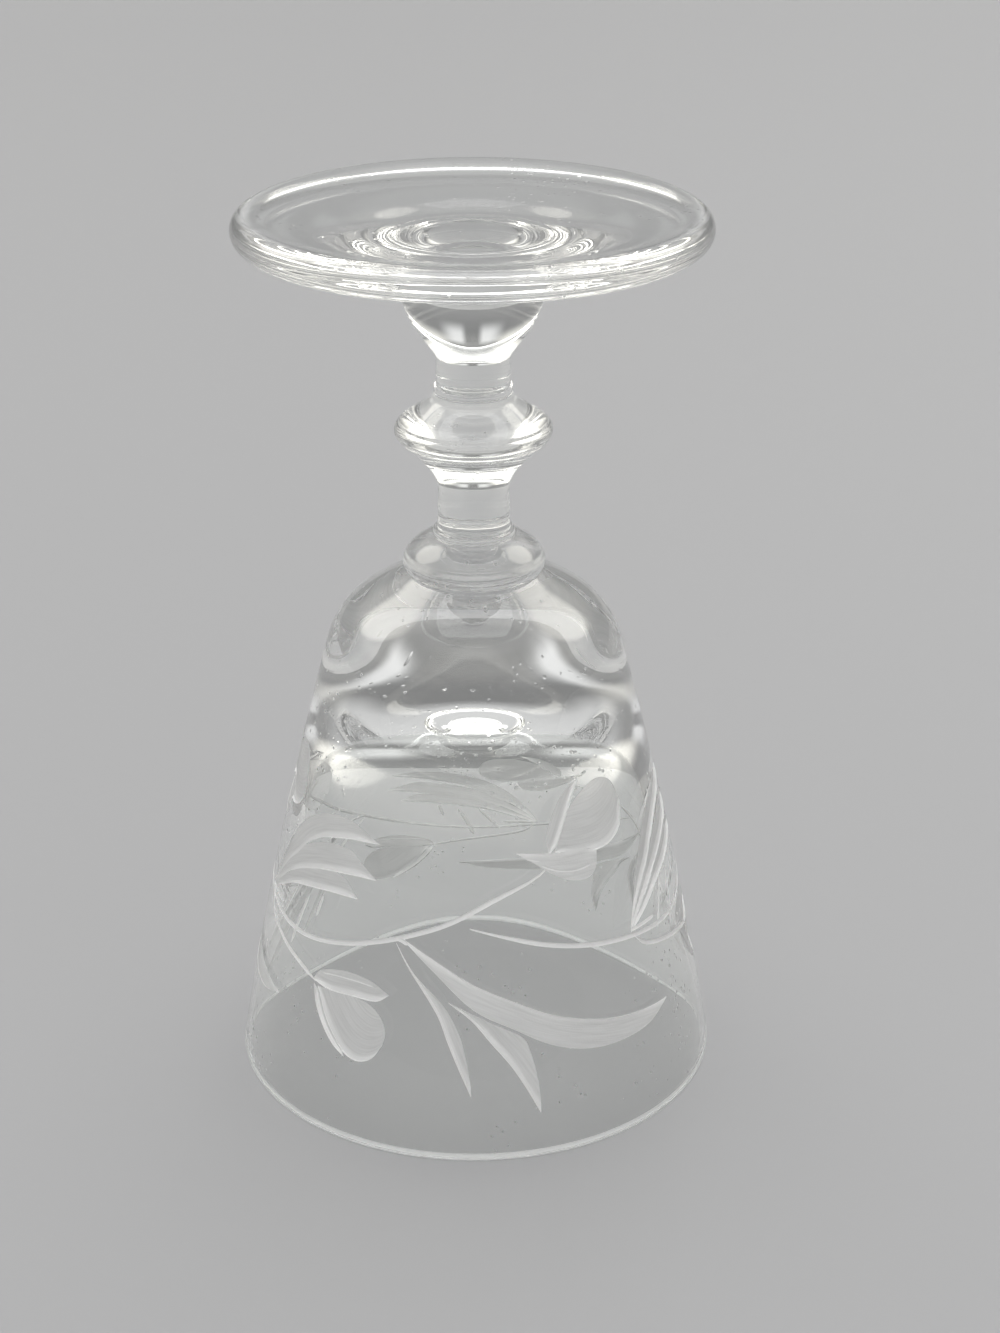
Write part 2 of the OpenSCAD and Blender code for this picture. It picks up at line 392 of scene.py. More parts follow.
def bowl_outlines(sizes):
    """The bowl's outer outline from the rim up, and its inner one from the cavity's top down."""
    height = node_height("bowl")
    rim = node_radius("bowl")
    lift = sizes.rim_round
    shoulder = Vector((sizes.shoulder_radius, sizes.shoulder_height))
    lip = Vector((sizes.shoulder_top, height - sizes.shoulder_lip))
    handle = sizes.shoulder_height * WALL_HANDLE_SHARE
    rise = lip[1] - shoulder[1]
    leave, arrive = SHOULDER_HANDLE_SHARES
    outer = arc(Vector((rim - lift, lift)), lift, -90, 0)
    outer += bezier(
        Vector((rim - lift * sizes.rim_lean, lift + lift)),
        Vector((rim - handle * sizes.rim_lean, handle)),
        shoulder + Vector((handle * sizes.shoulder_lean, -handle)),
        shoulder,
        CURVE_STEPS * 3,
    )
    outer += bezier(
        shoulder,
        shoulder + Vector((-rise * leave * sizes.shoulder_lean, rise * leave)),
        between(lip, shoulder, arrive, 1 - arrive - arrive * sizes.rim_lean),
        lip,
    )[1:]
    outer.append(Vector((sizes.collar_seat, height)))

    turn_height = sizes.cavity_height - sizes.cavity_turn
    turn_share = turn_height / sizes.shoulder_height
    slope = (1 - turn_share) * sizes.rim_lean + turn_share * sizes.shoulder_lean
    turn = Vector((
        sizes.shoulder_radius - sizes.base_wall
        + (sizes.shoulder_height - turn_height) * sizes.shoulder_lean,
        turn_height,
    ))
    inner_rim = rim - sizes.rim_wall
    handle = turn_height * WALL_HANDLE_SHARE
    flat, steep = CAVITY_HANDLE_SHARES
    inner = bezier(
        Vector((0, sizes.cavity_height)),
        Vector((turn[0] * flat, sizes.cavity_height)),
        turn + Vector((-slope, 1)) * sizes.cavity_turn * steep,
        turn,
    )
    inner += bezier(
        turn,
        turn + Vector((slope, -1)) * handle,
        Vector((inner_rim - handle * sizes.rim_lean, handle)),
        Vector((inner_rim - lift * sizes.rim_lean, lift + lift)),
        CURVE_STEPS * 2,
    )[1:]
    inner += arc(Vector((inner_rim + lift, lift)), lift, 180, 270)
    return outer, inner


def collar_outline(sizes):
    """The collar's outline from the bowl to the upper stem."""
    low = seam("collar")
    high = seam("upper_stem")
    ring = sizes.collar_ring
    seat = Vector((sizes.collar_seat, low))
    side = Vector((node_radius("collar"), low + sizes.collar_band / 2))
    cone_foot = Vector((side[0] - ring, low + sizes.collar_band))
    cone_top = Vector((sizes.collar_end, high - ring - ring))
    near, far = CONE_HANDLE_SHARES
    outline = bezier(
        seat, between(seat, side, BAND_HANDLE_SHARE, 0),
        between(side, seat, 0, BAND_HANDLE_SHARE), side)
    outline += bezier(
        side, between(side, cone_foot, 0, BAND_HANDLE_SHARE),
        between(cone_foot, side, BAND_HANDLE_SHARE, BAND_HANDLE_SHARE), cone_foot)[1:]
    outline += bezier(
        cone_foot, between(cone_foot, cone_top, near, far),
        between(cone_top, cone_foot, far, near), cone_top)[1:]
    outline += arc(Vector((sizes.collar_end - ring, high - ring)), ring, *COLLAR_RING_ANGLES)
    return outline


def upper_stem_outline(sizes):
    """The upper stem's outline, drawn in a little towards the knop."""
    low, high = seam("upper_stem"), seam("knop")
    start = Vector((node_radius("upper_stem"), low))
    end = Vector((sizes.knop_end, high))
    leave, low_share, high_share = STEM_HANDLE_SHARES
    return bezier(
        start, between(start, end, leave, low_share), between(start, end, 1, high_share), end)


def knop_outline(sizes):
    """The knop's outline: a flare, a rounded edge, and a steeper flare to its ring."""
    low, high = seam("knop"), seam("lower_stem")
    radius = node_radius("knop")
    belly = low + sizes.knop_belly
    rounding = sizes.knop_round
    low_end = Vector((sizes.knop_end, low))
    low_edge = Vector((radius - rounding / 2, belly - rounding))
    high_edge = Vector((radius - rounding / 2, belly + rounding))
    high_end = Vector((sizes.knop_ring, high - sizes.knop_ring_height))
    near, far = BELLY_HANDLE_SHARES
    outline = bezier(low_end, between(low_end, low_edge, 0, near),
                     between(low_edge, low_end, far, near), low_edge)
    outline += arc(Vector((radius - rounding, belly)), rounding, *KNOP_EDGE_ANGLES)
    near, far = CROWN_HANDLE_SHARES
    outline += bezier(high_edge, between(high_edge, high_end, far, near),
                      between(high_end, high_edge, 0, near), high_end)
    outline.append(Vector((sizes.knop_ring, high)))
    return outline


def lower_stem_outline():
    """The lower stem's plain outline."""
    radius = node_radius("lower_stem")
    low, high = seam("lower_stem"), seam("foot_dome")
    return [Vector((radius, low + (high - low) * i / ARC_STEPS)) for i in range(ARC_STEPS + 1)]


def dome_outline(sizes):
    """The dome's outline, from the stem to the seam under the foot."""
    low, high = seam("foot_dome"), seam("foot")
    start = Vector((node_radius("lower_stem"), low))
    side = Vector((sizes.dome_radius, high - sizes.dome_fillet))
    hub = Vector((node_radius("foot_dome"), high))
    near, far = DOME_HANDLE_SHARES
    outline = bezier(start, between(start, side, near, near), between(side, start, 0, far), side)
    leave, across, arrive = FILLET_HANDLE_SHARES
    outline += bezier(
        side, between(side, hub, 0, leave), between(side, hub, across, arrive), hub, ARC_STEPS)[1:]
    return outline


def foot_outline(sizes):
    """The foot's outline, from the dome round the edge to the middle of its hollow."""
    radius = node_radius("foot")
    low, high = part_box("foot")[LOWEST][Z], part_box("foot")[HIGHEST][Z]
    edge = sizes.foot_edge / 2
    hub = Vector((node_radius("foot_dome"), low))
    edge_low = Vector((radius - edge, high - sizes.foot_edge))
    ring_out = Vector((radius - sizes.bearing_inset, high))
    ring_in = ring_out - Vector((sizes.bearing_width, 0))
    middle = Vector((0, high - sizes.foot_hollow))
    near, far = FOOT_HANDLE_SHARES
    outline = bezier(
        hub, between(hub, edge_low, near, 1 - far), between(edge_low, hub, far, near), edge_low)
    outline += arc(Vector((radius - edge, high - edge)), edge, -90, 90, ARC_STEPS * 2)[1:]
    outline.append(ring_out)
    near, far = HOLLOW_HANDLE_SHARES
    outline += bezier(
        ring_in, between(ring_in, middle, near, far), between(middle, ring_in, far, 0), middle)
    return outline


# Making pieces

def spun_mesh(outline):
    """A bmesh of a closed outline of (radius, height) spun about the axis."""
    bm = bmesh.new()
    verts = [bm.verts.new((point[0], 0, point[1])) for point in outline]
    for first, second in zip(verts, verts[1:]):
        bm.edges.new((first, second))
    bmesh.ops.spin(
        bm, geom=bm.verts[:] + bm.edges[:], cent=(0, 0, 0), axis=(0, 0, 1), dvec=(0, 0, 0),
        angle=math.tau, steps=TURN_STEPS, use_merge=True, use_duplicate=False,
    )
    bmesh.ops.remove_doubles(bm, verts=bm.verts, dist=NEAREST)
    bmesh.ops.recalc_face_normals(bm, faces=bm.faces)
    for face in bm.faces:
        face.smooth = True
    return bm


def mark_seams(bm, heights):
    """Gives the flat ends at the fused seams their own material, with a sharp ring round them."""
    for face in bm.faces:
        if any(all(abs(v.co.z - height) < NEAREST for v in face.verts) for height in heights):
            face.material_index = SEAM
    for edge in bm.edges:
        if len({face.material_index for face in edge.link_faces}) > 1:
            edge.smooth = False


def finished_piece(name, node, bm, materials):
    """Turns a bmesh into a piece that rides on the glass and stands for its node."""
    mesh = bpy.data.meshes.new(name)
    bm.to_mesh(mesh)
    bm.free()
    piece = bpy.data.objects.new(name, mesh)
    bpy.context.scene.collection.objects.link(piece)
    for material in materials:
        mesh.materials.append(material)
    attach(piece, "root")
    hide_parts(node)
    return piece


def gather(name, node, outline, materials):
    """A spun piece whose two flat ends are fused to its neighbours."""
    bm = spun_mesh([Vector((0, outline[0][1]))] + outline + [Vector((0, outline[-1][1]))])
    mark_seams(bm, {outline[0][1], outline[-1][1]})
    return finished_piece(name, node, bm, materials)


# The ground cuts

def flat(places):
    """Places in degrees and millimetres, as vectors in metres on the wall rolled out flat."""
    degree = math.radians(1) * bpy.context.scene.cut_sizes.drum
    return [Vector((turn * degree, height * MM)) for turn, height in places]


def leaf_edges(root, crisp, tip, soft):
    """The two edges of a leaf, from root to tip, kept a hair apart at both ends."""
    near = smooth_path(flat((root, *crisp, tip)), LEAF_STEPS)
    far = smooth_path(flat((root, *soft, tip)), LEAF_STEPS)
    middle = LEAF_STEPS // 2
    hair = (far[middle] - near[middle]).normalized() * bpy.context.scene.cut_sizes.hair
    return [point - hair for point in near], [point + hair for point in far]


def groove_edges(places, width):
    """The two edges of a groove along its middle, narrower at both ends."""
    centre = smooth_path(flat(places), LEAF_STEPS)
    near, far = [], []
    for i, point in enumerate(centre):
        ahead = centre[min(i + 1, LEAF_STEPS)] - centre[max(i - 1, 0)]
        side = Vector((-ahead[1], ahead[0])).normalized() * width / 2
        side *= end_taper(i / LEAF_STEPS)
        near.append(point - side)
        far.append(point + side)
    return near, far


def end_taper(share):
    """Falls to a low value towards both ends of a cut."""
    return END_WIDTH + (1 - END_WIDTH) * min(1, share * END_RISE, (1 - share) * END_RISE)


def add_blank(bm, grain, edges, depth, depth_shares, node, wall):
    """Adds the closed blank that one pass of the wheel takes out of the wall."""
    cuts = bpy.context.scene.cut_sizes
    near, far = edges
    rows = len(depth_shares) - 1
    reach = sum((b - a).length for a, b in zip(near, near[1:]))
    floor = bmesh.ops.create_grid(bm, x_segments=LEAF_STEPS, y_segments=rows, size=1)["verts"]
    faces = list({face for vert in floor for face in vert.link_faces})
    raised = bmesh.ops.extrude_face_region(bm, geom=faces)["geom"]
    top = [item for item in raised if isinstance(item, bmesh.types.BMVert)]
    strand = {}
    for vert in floor + top:
        i = round((vert.co.x + 1) / 2 * LEAF_STEPS)
        j = round((vert.co.y + 1) / 2 * rows)
        place = near[i].lerp(far[i], j / rows)
        strand[vert] = (reach * i / LEAF_STEPS + node, (far[i] - near[i]).length * j / rows)
        down = max(depth * depth_shares[j] * end_taper(i / LEAF_STEPS), cuts.least_depth)
        turn = place[0] / cuts.drum + node
        out = wall.radius(place[1]) - down
        vert.co = (out * math.sin(turn), -out * math.cos(turn), place[1])
    for vert in top:
        out = Vector((vert.co.x, vert.co.y, 0))
        vert.co += out.normalized() * (wall.radius(vert.co.z) + cuts.clearance - out.length)
    for face in {face for vert in strand for face in vert.link_faces}:
        for loop in face.loops:
            loop[grain].uv = strand[loop.vert]


def blanks(wall, material):
    """The blanks of every cut, one object for each layer."""
    cuts = bpy.context.scene.cut_sizes
    nodes = (cuts.spray_one, cuts.spray_two, cuts.spray_three)
    layers = []
    for layer in range(LAYERS):
        bm = bmesh.new()
        grain = bm.loops.layers.uv.new("grain")
        for node in nodes:
            for leaf_layer, root, crisp, tip, soft in LEAVES.values():
                if leaf_layer == layer:
                    add_blank(bm, grain, leaf_edges(root, crisp, tip, soft),
                              cuts.deep_edge, LEAF_DEPTH_SHARES, node, wall)
            for groove_layer, width, middle in GROOVES.values():
                if groove_layer == layer:
                    add_blank(bm, grain, groove_edges(middle, width * cuts.line_width),
                              cuts.line_depth, GROOVE_DEPTH_SHARES, node, wall)
        bmesh.ops.recalc_face_normals(bm, faces=bm.faces)
        for face in bm.faces:
            face.smooth = True
        mesh = bpy.data.meshes.new("wheel")
        bm.to_mesh(mesh)
        bm.free()
        mesh.materials.append(material)
        blank = bpy.data.objects.new("wheel", mesh)
        bpy.context.scene.collection.objects.link(blank)
        layers.append(blank)
    return layers


def grind(piece, layers):
    """Takes the blanks out of a piece, and the blanks away."""
    for blank in layers:
        cut = piece.modifiers.new("cut", "BOOLEAN")
        cut.operation = "DIFFERENCE"
        cut.solver = "MANIFOLD"
        cut.material_mode = "TRANSFER"
        cut.object = blank
    ground = piece.evaluated_get(bpy.context.evaluated_depsgraph_get())
    mesh = bpy.data.meshes.new_from_object(ground)
    drop_slivers(mesh)
    piece.modifiers.clear()
    whole = piece.data
    piece.data = mesh
    bpy.data.meshes.remove(whole)
    for blank in layers:
        bpy.data.meshes.remove(blank.data)


def drop_slivers(mesh):
    """Merges points that all but touch, and drops those at which fewer than three faces meet."""
    bm = bmesh.new()
    bm.from_mesh(mesh)
    bmesh.ops.remove_doubles(bm, verts=bm.verts, dist=NEAREST)
    bmesh.ops.dissolve_degenerate(bm, edges=bm.edges, dist=NEAREST)
    for edge in [edge for edge in bm.edges if not edge.link_faces]:
        bm.edges.remove(edge)
    for vert in [vert for vert in bm.verts if not vert.link_faces]:
        bm.verts.remove(vert)
    idle = [vert for vert in bm.verts if len(vert.link_edges) == 2]
    bmesh.ops.dissolve_verts(bm, verts=idle)
    bm.to_mesh(mesh)
    bm.free()


def polish(mesh, walls, reach):
    """Gives the clear faces the normals of the walls they lie on, up to the edges of the cuts."""
    mesh.set_sharp_from_angle(angle=math.radians(SHARPEST_TURN))
    kinds = [polygon.material_index for polygon in mesh.polygons]
    faces_at = {}
    for polygon in mesh.polygons:
        for key in polygon.edge_keys:
            faces_at.setdefault(key, []).append(kinds[polygon.index])
    sharp = mesh.attributes.get("sharp_edge")
    if not sharp:
        sharp = mesh.attributes.new("sharp_edge", "BOOLEAN", "EDGE")
    for edge in mesh.edges:
        if len(set(faces_at.get(edge.key, ()))) > 1:
            sharp.data[edge.index].value = True
    normals = [Vector(corner.vector) for corner in mesh.corner_normals]
    for polygon in mesh.polygons:
        if kinds[polygon.index] not in (CLEAR, RIM):
            continue
        for wall, side in walls:
            places = [mesh.vertices[index].co for index in polygon.vertices]
            if all(abs(math.hypot(p[X], p[Y]) - wall.radius(p[Z])) < reach for p in places):
                for loop, place in zip(polygon.loop_indices, places):
                    normals[loop] = wall.normal(place) * side
    mesh.normals_split_custom_set(normals)


# Shader maths

class Wire:
    """A shader socket that adds Math nodes when it is used in a sum."""

    def __init__(self, shader, socket):
        self.shader = shader
        self.socket = socket

    def maths(self, operation, *values):
        """A Math node that does one operation on values or wires."""
        inputs = dict(enumerate(values))
        return self.shader.add("ShaderNodeMath", {"operation": operation}, inputs)[0]

    def __add__(self, other):
        return self.maths("ADD", self, other)

    def __radd__(self, other):
        return self.maths("ADD", other, self)

    def __sub__(self, other):
        return self.maths("SUBTRACT", self, other)

    def __rsub__(self, other):
        return self.maths("SUBTRACT", other, self)

    def __mul__(self, other):
        return self.maths("MULTIPLY", self, other)

    def __rmul__(self, other):
        return self.maths("MULTIPLY", other, self)

    def __pow__(self, other):
        return self.maths("POWER", self, other)


class Outputs(list):
    """A node's output wires, found by number or by name."""

    def __getitem__(self, key):
        if isinstance(key, str):
            return next(wire for wire in self if wire.socket.name == key)
        return super().__getitem__(key)


class Shader:
    """A material's or the world's node tree, built one node at a time."""

    def __init__(self, owner):
        owner.use_nodes = True
        self.tree = owner.node_tree
        self.tree.nodes.clear()

    def add(self, kind, settings=None, inputs=None):
        """Adds a node, sets it up, fills or links its sockets, and returns its outputs as wires."""
        node = self.tree.nodes.new(kind)
        for key, value in (settings or {}).items():
            if key == "stops":
                self.set_stops(node.color_ramp, value)
            else:
                setattr(node, key, value)
        for key, value in (inputs or {}).items():
            if isinstance(value, Wire):
                self.tree.links.new(value.socket, node.inputs[key])
            else:
                node.inputs[key].default_value = value
        return Outputs(Wire(self, socket) for socket in node.outputs)

    @staticmethod
    def set_stops(ramp, stops):
        """Sets a colour ramp to the stops given as (position, colour)."""
        for position, value in stops[2:]:
            ramp.elements.new(position)
        for element, (position, value) in zip(ramp.elements, stops):
            element.position = position
            element.color = value


def grey(value):
    """A plain grey as a colour with full alpha."""
    return (value, value, value, 1.0)


def opaque(colour_value):
    """A colour property's value with full alpha."""
    return (*colour_value, 1.0)


GLASS_IOR = 1.5

# How fine the marks in the glass are: noise scales, to a metre
TURNING_SCALE = (60.0, 60.0, 420.0)
SMUDGE_SCALE = 90.0
SPECK_SCALE = 900.0
STREAK_SCALE = (260.0, 5200.0, 1.0)
GRAIN_SCALE = 5200.0
WEAR_SCALE = 350.0

# Clear glass: how far a speck reaches from its middle, in which range of the smudges the specks
# begin to show, and what marks, smudges and specks add to its roughness and its bumps
SPECK_REACH = (0.20, 0.08)
SPECK_RANGE = (0.52, 0.62)
SMUDGE_POWER = 3
SMUDGE_ROUGHNESS = 0.035
SPECK_ROUGHNESS = 0.5
MARK_HEIGHT = 0.03
SPECK_HEIGHT = 6.0
CLEAR_BUMP = {"Strength": 0.12, "Distance": 0.12 * MM}

# Ground glass: how far from its crisp edge the painted highlight reaches and how much paler it
# makes the cut there, how strongly its streaks show, and what the grain adds
PAINTED_HIGHLIGHT_REACH = (0.2 * MM, 0.7 * MM)
PAINTED_HIGHLIGHT_LIFT = 0.8
STREAK_CONTRAST = 1.1
STREAK_FLOOR = 0.15
GRAIN_HEIGHT = 0.6
GROUND_ROUGHNESS = 0.55
GRAIN_ROUGHNESS = 0.25
GROUND_CLEARNESS = 0.5
GROUND_BUMP = {"Strength": 0.45, "Distance": 0.06 * MM}

# The rim's worn edge with its painted highlight, and the floor
RIM_ROUGHNESS = 0.45
WEAR_ROUGHNESS = 0.2
RIM_CLEARNESS = 0.55
FLOOR_ROUGHNESS = 0.6

# How light the room is, from level with the floor to straight overhead
SKY_STOPS = (
    (0.0, grey(0.18)), (0.12, grey(0.15)), (0.50, grey(0.14)), (0.64, grey(0.38)),
    (0.82, grey(0.45)), (0.93, grey(0.9)),
)
# How much all of that is raised
SKY_STRENGTH = 1.6

# The room's lights as the glass shows them: how strong they are, which way two of them lie, and
# where each begins and ends. Up, aside and back are shares of a direction's length, and near is
# how closely a direction agrees with the light's own. The tint is that of all but the windows.
WINDOWS_LEVEL = 0.6
WINDOWS_UP = ((0.08, 0.26), (0.44, 0.34))
WINDOWS_ASIDE = ((0.05, 0.13), (0.38, 0.18))
WINDOWS_BACK = (0.0, 0.3)
FRONT_WAY = Vector((0, -0.8, 0.6))
FRONT_NEAR = (0.20, 0.75)
FRONT_UP = (0.32, 0.58)
SIDES_LEVEL = 0.8
SIDES_ASIDE = (0.2, 0.45)
SIDES_UP = (0.22, 0.45)
PANES_LEVEL = 3.8
PANES_WAY = Vector((0.62, 0.42, 0.66))
PANES_NEAR = (0.935, 0.975)
LAMP_TINT = (1.1, 1.07, 0.98)

# What lights a matt surface from all round, and how much paler the room looks to the bare eye
ROUND_LIGHT = 0.3
BACKDROP_LIFT = 0.2

# Each soft light: its place, its size, its power in watts and whether it passes through the glass
SOFT_LIGHTS = {
    "key_box": ((-4.0, -4.5, 5.5), (2.5, 2.5), 330, True),
    "fill_box": ((5.0, -2.5, 4.0), (3.0, 3.0), 150, True),
    "back_box": ((1.5, 6.0, 2.4), (3.0, 2.0), 110, True),
    "top_box": ((0.0, 0.15, 0.85), (0.5, 0.4), 1.1, False),
}

# The camera's focal length in millimetres, and the nearest it sees in metres
EYE_LENS = 69.62
EYE_CLIP = 0.01

# How often light may turn in the glass, and how often it may pass a seam
MOST_BOUNCES = 32
MOST_CLEAR_BOUNCES = 48


def new_material(name):
    """An empty node material and its shader."""
    material = bpy.data.materials.new(name)
    return material, Shader(material)


def noise(shader, place, scale, detail):
    """Noise at a place of a surface, as fine as its scale and detail say."""
    return shader.add("ShaderNodeTexNoise", None, {0: place, "Scale": scale, "Detail": detail})[0]


def ease(shader, value, start, end, low=0.0, high=1.0):
    """Goes softly from a low to a high value while another goes from a start to an end."""
    return shader.add("ShaderNodeMapRange", {"interpolation_type": "SMOOTHSTEP"}, {
        0: value, "From Min": start, "From Max": end, "To Min": low, "To Max": high})[0]


def blend(shader, share, first, second):
    """Goes from one colour to another as a share goes from nothing to one."""
    return shader.add("ShaderNodeMix", {"data_type": "RGBA", "clamp_factor": True}, {
        0: share, 6: first, 7: second})[2]


def along(shader, direction, way):
    """How closely a direction agrees with a way, which is 1 when both are the same."""
    return shader.add("ShaderNodeVectorMath", {"operation": "DOT_PRODUCT"}, {
        0: direction, 1: way})["Value"]


def show(material, shader, settings):
    """Puts a Principled surface with these settings on a material and returns the material."""
    surface = shader.add("ShaderNodeBsdfPrincipled", None, settings)[0]
    shader.add("ShaderNodeOutputMaterial", None, {"Surface": surface})
    return material


def polished_glass():
    """Clear polished glass: faint turning marks, smudges, and specks of dust."""
    colours = bpy.context.scene.glass_colours
    material, shader = new_material("polished_glass")
    place = shader.add("ShaderNodeTexCoord")["Object"]
    around = shader.add("ShaderNodeMapping", None, {0: place, "Scale": TURNING_SCALE})[0]
    marks = noise(shader, around, 1.0, 2.0)
    smudge = noise(shader, place, SMUDGE_SCALE, 4.0)
    speck = shader.add("ShaderNodeTexVoronoi", None, {0: place, "Scale": SPECK_SCALE})[0]
    shown, full = SPECK_RANGE
    patch = shader.add("ShaderNodeMapRange", None, {
        0: smudge, "From Min": shown, "From Max": full, "To Min": 0.0, "To Max": 1.0})[0]
    specks = ease(shader, speck, *SPECK_REACH) * patch
    roughness = smudge ** SMUDGE_POWER * SMUDGE_ROUGHNESS + specks * SPECK_ROUGHNESS
    height = marks * MARK_HEIGHT + specks * SPECK_HEIGHT
    bump = shader.add("ShaderNodeBump", None, {**CLEAR_BUMP, "Height": height})[0]
    return show(material, shader, {
        "Base Color": opaque(colours.clear), "Roughness": roughness, "IOR": GLASS_IOR,
        "Transmission Weight": 1.0, "Normal": bump})


def ground_glass():
    """Ground glass: pale, matt, half clear and streaked, with a painted highlight along a cut's
    crisp edge.
    """
    colours = bpy.context.scene.glass_colours
    material, shader = new_material("ground_glass")
    place = shader.add("ShaderNodeTexCoord")["Object"]
    strand = shader.add("ShaderNodeUVMap", {"uv_map": "grain"})[0]
    drawn = shader.add("ShaderNodeMapping", None, {0: strand, "Scale": STREAK_SCALE})[0]
    streaks = noise(shader, drawn, 1.0, 4.0)
    grain = noise(shader, place, GRAIN_SCALE, 3.0)
    across = shader.add("ShaderNodeSeparateXYZ", None, {0: strand})[1]
    # Painted highlight: the cut's colour is paler near its crisp edge, where its steep wall looks
    # bright
    edge = ease(shader, across, *PAINTED_HIGHLIGHT_REACH, PAINTED_HIGHLIGHT_LIFT, 0.0)
    streaks_and_painted_highlight = streaks * STREAK_CONTRAST - STREAK_FLOOR + edge
    tone = blend(shader, streaks_and_painted_highlight, opaque(colours.ground_dark), opaque(colours.ground))
    height = streaks + grain * GRAIN_HEIGHT
    bump = shader.add("ShaderNodeBump", None, {**GROUND_BUMP, "Height": height})[0]
    return show(material, shader, {
        "Base Color": tone, "Roughness": GROUND_ROUGHNESS + grain * GRAIN_ROUGHNESS,
        "IOR": GLASS_IOR, "Transmission Weight": GROUND_CLEARNESS, "Normal": bump})


def seam_material():
    """The fused seam between two pieces, which can't be seen: the glass runs through it."""
    material, shader = new_material("fused_seam")
    return show(material, shader, {"Alpha": 0.0})


def worn_rim_painted_highlight():
    """The rim's rounded edge, worn a little matt where the glass is set down, with a painted
    highlight in its pale half-clear colour.
    """
    colours = bpy.context.scene.glass_colours
    material, shader = new_material("worn_rim_painted_highlight")
    place = shader.add("ShaderNodeTexCoord")["Object"]
    wear = noise(shader, place, WEAR_SCALE, 3.0)
    # Painted highlight: the rim is only half clear, so its pale base colour shows as a bright line;
    # its roughness is wear
    return show(material, shader, {
        "Base Color": opaque(colours.clear), "Roughness": wear * WEAR_ROUGHNESS + RIM_ROUGHNESS,
        "IOR": GLASS_IOR, "Transmission Weight": RIM_CLEARNESS})


def glass_materials():
    """The four materials of the glass, made once and shared by its pieces."""
    makers = {"polished_glass": polished_glass, "fused_seam": seam_material,
              "ground_glass": ground_glass, "worn_rim_painted_highlight": worn_rim_painted_highlight}
    return [bpy.data.materials.get(name) or make() for name, make in makers.items()]


# The operators

class GLASS_OT_bowl(bpy.types.Operator):
    """Makes the bowl with its cavity and the ground flowers in its wall"""

    bl_idname = "glass.bowl"
    bl_label = "Bowl"

    def execute(self, context):
        sizes = context.scene.glass_sizes
        outer, inner = bowl_outlines(sizes)
        height = outer[-1][1]
        materials = glass_materials()
        bm = spun_mesh([Vector((0, height))] + outer[::-1] + inner[::-1])
        bm.loops.layers.uv.new("grain")
        mark_seams(bm, {height})
        for face in bm.faces:
            if all(vert.co.z < sizes.rim_round + NEAREST for vert in face.verts):
                face.material_index = RIM
        bowl = finished_piece("glass_bowl", "bowl", bm, materials)
        wall = Wall(outer[ARC_STEPS + 1:-1])
        grind(bowl, blanks(wall, materials[GROUND]))
        walls = ((Wall(outer[:-1]), 1), (Wall(inner), -1))
        polish(bowl.data, walls, sizes.rim_round * POLISH_REACH)
        return {"FINISHED"}


class GLASS_OT_stem(bpy.types.Operator):
    """Makes the collar, the two lengths of stem and the knop between them"""

    bl_idname = "glass.stem"
    bl_label = "Stem"

    def execute(self, context):
        sizes = context.scene.glass_sizes
        materials = glass_materials()
        gather("glass_collar", "collar", collar_outline(sizes), materials)
        gather("glass_upper_stem", "upper_stem", upper_stem_outline(sizes), materials)
        gather("glass_knop", "knop", knop_outline(sizes), materials)
        gather("glass_lower_stem", "lower_stem", lower_stem_outline(), materials)
        return {"FINISHED"}


class GLASS_OT_foot(bpy.types.Operator):
    """Makes the dome under the stem and the foot"""

    bl_idname = "glass.foot"
    bl_label = "Foot"

    def execute(self, context):
        sizes = context.scene.glass_sizes
        materials = glass_materials()
        gather("glass_foot_dome", "foot_dome", dome_outline(sizes), materials)
        outline = foot_outline(sizes)
        bm = spun_mesh([Vector((0, outline[0][1]))] + outline)
        mark_seams(bm, {outline[0][1]})
        finished_piece("glass_foot", "foot", bm, materials)
        return {"FINISHED"}


def area_light(name, place, size, watts, passes):
    """A soft light aimed at the glass. One that passes through it isn't seen in it."""
    lamp = bpy.data.lights.new(name, "AREA")
    lamp.shape = "RECTANGLE"
    lamp.size, lamp.size_y = size
    lamp.energy = watts
    stand = bpy.data.objects.new(name, lamp)
    stand.location = place
    aim = Vector((0, 0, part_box("foot")[HIGHEST][Z] / 2)) - Vector(place)
    stand.rotation_euler = aim.to_track_quat("-Z", "Y").to_euler()
    lamp.use_shadow = not passes
    stand.visible_glossy = not passes
    stand.visible_transmission = not passes
    bpy.context.scene.collection.objects.link(stand)


